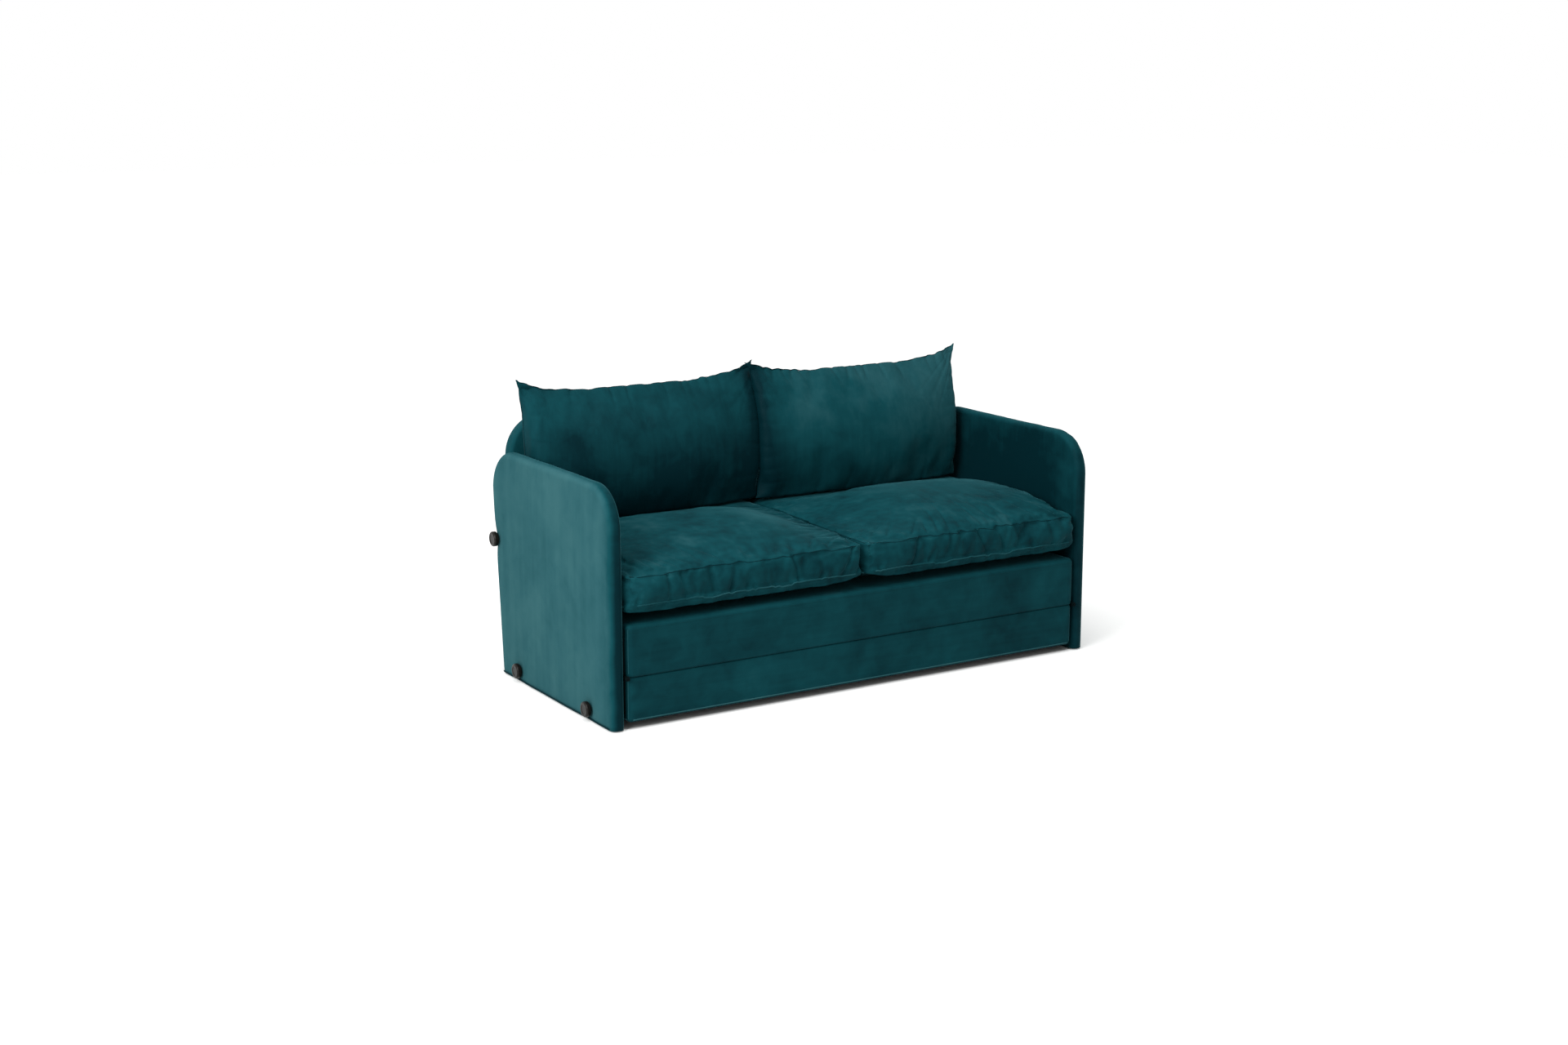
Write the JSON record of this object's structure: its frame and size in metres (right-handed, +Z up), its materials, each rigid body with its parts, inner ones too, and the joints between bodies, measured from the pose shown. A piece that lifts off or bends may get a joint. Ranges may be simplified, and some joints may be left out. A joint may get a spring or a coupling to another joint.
{
  "type": "sofa bed",
  "caption": "Velvet sofa bed with thin padded arms, loose back cushions and boxed seat cushions, folding out in sections to a double bed.",
  "frame": {"origin": "on the floor, below the middle of the whole sofa when it is folded up", "axes": "+X to the right as seen from the front, along the sofa; -Y to the front; +Z up"},
  "size_m": [1.634, 0.7754, 0.869],
  "materials": {
    "velvet": "short-pile velvet, soft sheen",
    "foam": "open-cell foam",
    "timber": "planed softwood, bare",
    "board": "plywood, bare",
    "lining": "black spunbond cloth",
    "webbing": "woven elastic webbing",
    "hinge_tape": "woven tape",
    "piping_cord": "twisted cotton cord",
    "filling": "polyester fibre",
    "black_plastic": "moulded, matt",
    "black_steel": "black powder coat",
    "zinc_steel": "zinc plated",
    "knob_plastic": "moulded, satin"
  },
  "bodies": {
    "frame": {"arm_board_left": "board", "arm_board_right": "board", "arm_cover_left": "velvet", "arm_cover_right": "velvet", "arm_foam_left": "foam", "arm_foam_right": "foam", "arm_glides": "black_plastic", "arm_spacers": "black_plastic", "back_bolts": "zinc_steel", "back_bottom_rail": "timber", "back_cover": "velvet", "back_foam": "foam", "back_posts": "timber", "back_top_rail": "timber", "back_webbing": "webbing", "back_wedges": "timber", "base_cover": "velvet", "base_cross_rails": "timber", "base_feet": "black_plastic", "base_foam": "foam", "base_front_rail": "timber", "base_hinge_plates": "black_steel", "base_lining": "lining", "base_rear_rail": "timber", "base_slats": "timber", "hinge_pins": "zinc_steel", "threaded_inserts": "zinc_steel"},
    "fold_out": {"fold_cover": "velvet", "fold_cross_rails": "timber", "fold_foam": "foam", "fold_front_rail": "timber", "fold_hinge_loops": "hinge_tape", "fold_hinge_plates": "black_steel", "fold_lining": "lining", "fold_rear_rail": "timber", "fold_slats": "timber", "seat_hinge_cords": "piping_cord"},
    "seat_left": {"seat_cushion_cover_left": "velvet", "seat_cushion_core_left": "foam", "seat_hinge_tabs_left": "hinge_tape"},
    "back_cushion_left": {"back_cushion_cover_left": "velvet", "back_cushion_filling_left": "filling"},
    "seat_right": {"seat_cushion_cover_right": "velvet", "seat_cushion_core_right": "foam", "seat_hinge_tabs_right": "hinge_tape"},
    "back_cushion_right": {"back_cushion_cover_right": "velvet", "back_cushion_filling_right": "filling"},
    "knob_front_left": {"knob_front_left": "knob_plastic", "stud_front_left": "zinc_steel"},
    "knob_rear_left": {"knob_rear_left": "knob_plastic", "stud_rear_left": "zinc_steel"},
    "knob_back_left": {"knob_back_left": "knob_plastic", "stud_back_left": "zinc_steel"},
    "knob_front_right": {"knob_front_right": "knob_plastic", "stud_front_right": "zinc_steel"},
    "knob_rear_right": {"knob_rear_right": "knob_plastic", "stud_rear_right": "zinc_steel"},
    "knob_back_right": {"knob_back_right": "knob_plastic", "stud_back_right": "zinc_steel"}
  },
  "joints": [
    {"name": "fold_out_hinge", "type": "hinge", "parent": "frame", "child": "fold_out", "pos_m": [0, -0.37166, 0.146], "axis": [1, 0, 0], "range_deg": [0, 180]},
    {"name": "seat_left_hinge", "type": "hinge", "parent": "fold_out", "child": "seat_left", "pos_m": [0, 0.28554, 0.2882], "axis": [1, 0, 0], "range_deg": [-180, 0]},
    {"name": "back_cushion_left_tilt", "type": "hinge", "parent": "seat_left", "child": "back_cushion_left", "pos_m": [0, 0.1275, 0.446], "axis": [1, 0, 0], "range_deg": [0, 90]},
    {"name": "seat_right_hinge", "type": "hinge", "parent": "fold_out", "child": "seat_right", "pos_m": [0, 0.28554, 0.2882], "axis": [1, 0, 0], "range_deg": [-180, 0]},
    {"name": "back_cushion_right_tilt", "type": "hinge", "parent": "seat_right", "child": "back_cushion_right", "pos_m": [0, 0.1275, 0.446], "axis": [1, 0, 0], "range_deg": [0, 90]},
    {"name": "knob_front_left_turn", "type": "hinge", "parent": "frame", "child": "knob_front_left", "pos_m": [0, -0.22896, 0.034], "axis": [1, 0, 0], "continuous": true},
    {"name": "knob_rear_left_turn", "type": "hinge", "parent": "frame", "child": "knob_rear_left", "pos_m": [0, 0.20904, 0.034], "axis": [1, 0, 0], "continuous": true},
    {"name": "knob_back_left_turn", "type": "hinge", "parent": "frame", "child": "knob_back_left", "pos_m": [0, 0.34101, 0.397], "axis": [1, 0, 0], "continuous": true},
    {"name": "knob_front_right_turn", "type": "hinge", "parent": "frame", "child": "knob_front_right", "pos_m": [0, -0.22896, 0.034], "axis": [1, 0, 0], "continuous": true},
    {"name": "knob_rear_right_turn", "type": "hinge", "parent": "frame", "child": "knob_rear_right", "pos_m": [0, 0.20904, 0.034], "axis": [1, 0, 0], "continuous": true},
    {"name": "knob_back_right_turn", "type": "hinge", "parent": "frame", "child": "knob_back_right", "pos_m": [0, 0.34101, 0.397], "axis": [1, 0, 0], "continuous": true}
  ],
  "couplings": [
    {"joint": "seat_left_hinge", "follows": "fold_out_hinge", "ratio": -1},
    {"joint": "back_cushion_left_tilt", "follows": "fold_out_hinge", "ratio": 0.5},
    {"joint": "seat_right_hinge", "follows": "fold_out_hinge", "ratio": -1},
    {"joint": "back_cushion_right_tilt", "follows": "fold_out_hinge", "ratio": 0.5}
  ]
}
